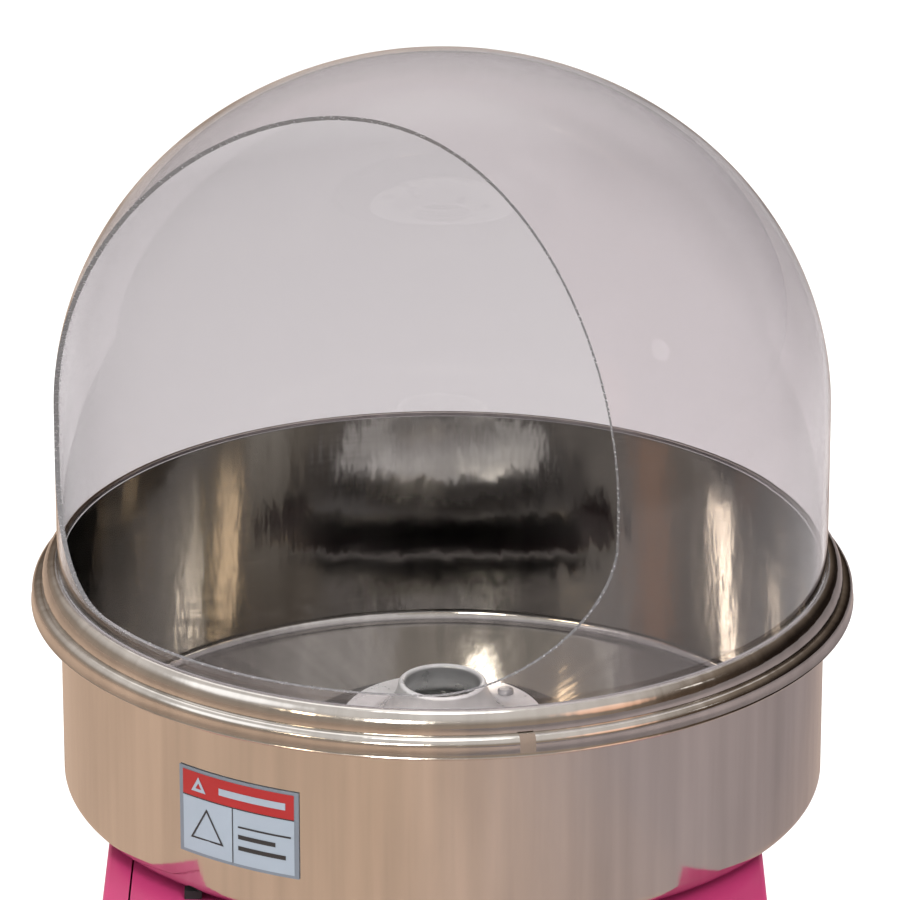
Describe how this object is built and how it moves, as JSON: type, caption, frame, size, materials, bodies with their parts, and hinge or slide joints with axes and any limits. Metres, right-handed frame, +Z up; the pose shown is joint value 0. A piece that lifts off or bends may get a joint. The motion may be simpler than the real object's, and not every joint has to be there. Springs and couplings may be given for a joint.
{
  "type": "cotton candy machine",
  "caption": "Countertop cotton candy machine with a pink cabinet, a lift-off stainless bowl, a heated spinner head, a clear side-opening bubble dome and a drawer.",
  "frame": {"origin": "on the bowl's axis, at the surface the rubber feet stand on", "axes": "+Z up along the bowl's axis, -Y towards the operator's side with the controls and the drawer"},
  "size_m": [0.52, 0.52, 0.8215],
  "materials": {
    "pink_paint": "satin",
    "zinc_plate": "satin",
    "rubber": "matte",
    "stainless": "polished",
    "acrylic": "clear, glossy",
    "label_print": "printed film",
    "white_plastic": "matte",
    "clear_plastic": "clear, glossy",
    "cast_aluminium": "turned and polished",
    "black_enamel": "semi-gloss",
    "steel": "ground",
    "brass": "turned",
    "carbon": "matte",
    "black_plastic": "fine grain",
    "red_plastic": "gloss",
    "circuit_board": "solder mask"
  },
  "bodies": {
    "cabinet": {"cabinet_shell": "pink_paint", "side_cover": "pink_paint", "front_panel": "pink_paint", "back_panel": "pink_paint", "base_plate": "zinc_plate", "foot_front_left": "rubber", "foot_front_right": "rubber", "foot_rear_left": "rubber", "foot_rear_right": "rubber", "bowl_pad_front_left": "rubber", "bowl_pad_front_right": "rubber", "bowl_pad_rear_left": "rubber", "bowl_pad_rear_right": "rubber", "motor_can": "zinc_plate", "motor_end_cap": "zinc_plate", "motor_stator": "steel", "bearing_upper": "steel", "bearing_lower": "steel", "motor_bracket": "zinc_plate", "brush_lower": "carbon", "brush_upper": "carbon", "brush_holder": "black_plastic", "control_panel": "stainless", "voltmeter_case": "black_plastic", "voltmeter_dial": "white_plastic", "voltmeter_lens": "clear_plastic", "motor_switch_body": "black_plastic", "heater_switch_body": "black_plastic", "heat_control": "zinc_plate", "drawer_runner_left": "zinc_plate", "drawer_runner_right": "zinc_plate", "cord_gland": "black_plastic", "fuse_holder": "black_plastic", "fuse_cap": "black_plastic", "terminal_block": "white_plastic", "heat_regulator": "circuit_board"},
    "bowl": {"bowl": "stainless", "notice_label": "label_print", "rim_sticker": "white_plastic"},
    "dome": {"dome": "acrylic"},
    "spinner": {"drive_shaft": "steel", "motor_rotor": "steel", "cooling_fan": "black_plastic", "slip_ring_hub": "black_plastic", "slip_ring_lower": "brass", "slip_ring_upper": "brass", "head_base": "cast_aluminium", "screen_band": "stainless", "heater_ring": "steel", "head_disc": "black_enamel", "head_cap": "cast_aluminium", "head_screw_1": "zinc_plate", "head_screw_2": "zinc_plate"},
    "drawer": {"drawer_box": "stainless", "drawer_front": "pink_paint", "drawer_handle": "stainless"},
    "motor_switch_rocker": {"motor_rocker": "black_plastic"},
    "heater_switch_rocker": {"heater_rocker": "red_plastic"},
    "heat_control_knob": {"heat_knob": "black_plastic"},
    "meter_needle": {"voltmeter_needle": "black_plastic"}
  },
  "joints": [
    {"name": "head_spin", "type": "hinge", "parent": "cabinet", "child": "spinner", "pos_m": [0, 0, 0.3], "axis": [0, 0, 1], "continuous": true},
    {"name": "bowl_lift", "type": "slide", "parent": "cabinet", "child": "bowl", "axis": [0, 0, 1], "range_m": [0, 0.16]},
    {"name": "dome_lift", "type": "slide", "parent": "bowl", "child": "dome", "axis": [0, 0, 1], "range_m": [0, 0.16]},
    {"name": "drawer_slide", "type": "slide", "parent": "cabinet", "child": "drawer", "axis": [0, -1, 0], "range_m": [0, 0.2]},
    {"name": "motor_switch_tilt", "type": "hinge", "parent": "cabinet", "child": "motor_switch_rocker", "pos_m": [-0.003, -0.2026, 0.265], "axis": [1, 0, 0], "range_deg": [0, 22]},
    {"name": "heater_switch_tilt", "type": "hinge", "parent": "cabinet", "child": "heater_switch_rocker", "pos_m": [0.028, -0.2026, 0.265], "axis": [1, 0, 0], "range_deg": [0, 22]},
    {"name": "heat_knob_turn", "type": "hinge", "parent": "cabinet", "child": "heat_control_knob", "pos_m": [0.066, -0.21, 0.265], "axis": [0, 1, 0], "range_deg": [0, 270]},
    {"name": "needle_swing", "type": "hinge", "parent": "cabinet", "child": "meter_needle", "pos_m": [-0.057, -0.207, 0.2543], "axis": [0, 1, 0], "range_deg": [0, 84], "stiffness_Nm_per_rad": 0.0005}
  ]
}
